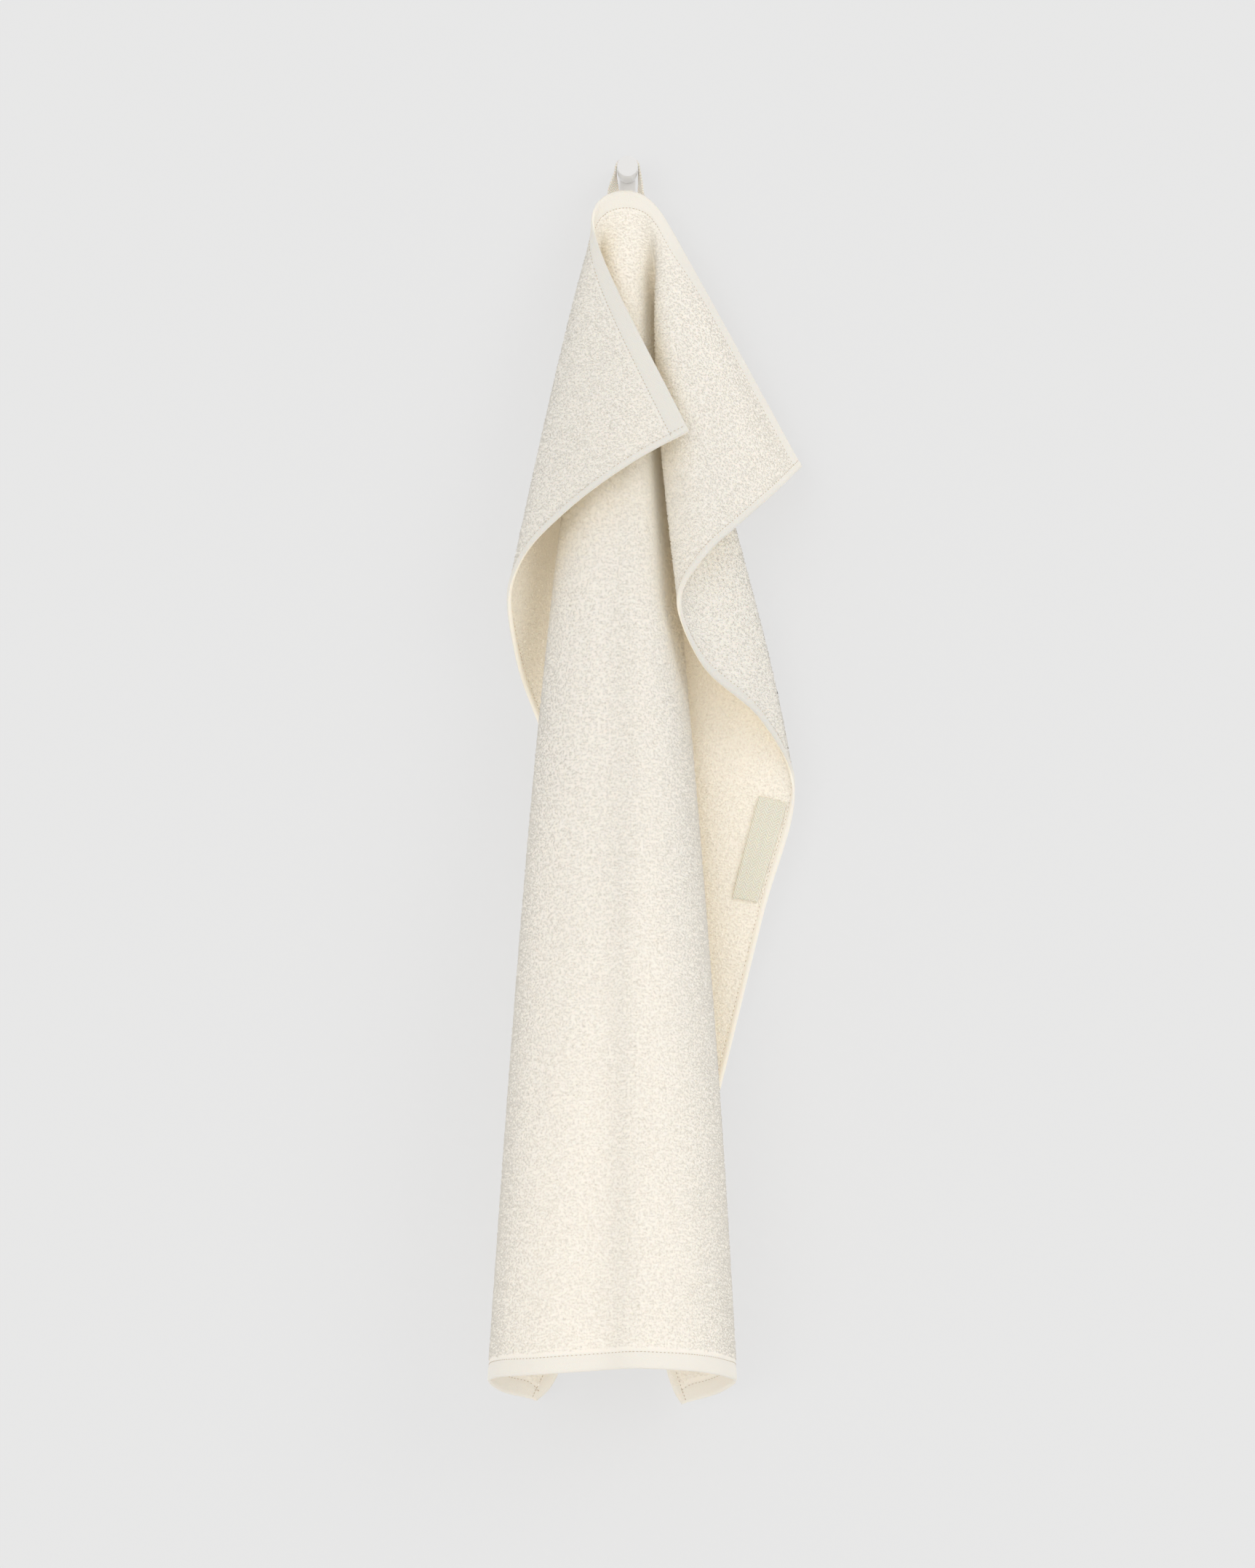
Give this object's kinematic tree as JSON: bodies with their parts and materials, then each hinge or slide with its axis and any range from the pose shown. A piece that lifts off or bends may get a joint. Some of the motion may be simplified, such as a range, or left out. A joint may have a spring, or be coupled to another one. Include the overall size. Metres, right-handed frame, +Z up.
{
  "type": "guest towel on a wall hook",
  "caption": "Terry guest towel hanging by a tape loop from a round-peg wall hook, folded into a soft cone with its upper corners fallen open in front.",
  "frame": {"origin": "on the hook's back face, where it meets the wall, on the axis of its peg", "axes": "+Z up, +Y into the wall, so the towel hangs on the side of -Y and the peg points along -Y"},
  "size_m": [0.1875, 0.1342, 0.746],
  "materials": {
    "terry": "looped cotton pile, matt",
    "woven_tape": "herringbone-woven, matt",
    "cotton_tape": "herringbone-woven, matt",
    "hook_coat": "satin white"
  },
  "bodies": {
    "root": {"towel": "terry", "label": "woven_tape", "hanging_loop": "cotton_tape", "hook_peg": "hook_coat", "hook_plate": "hook_coat"}
  },
  "joints": []
}
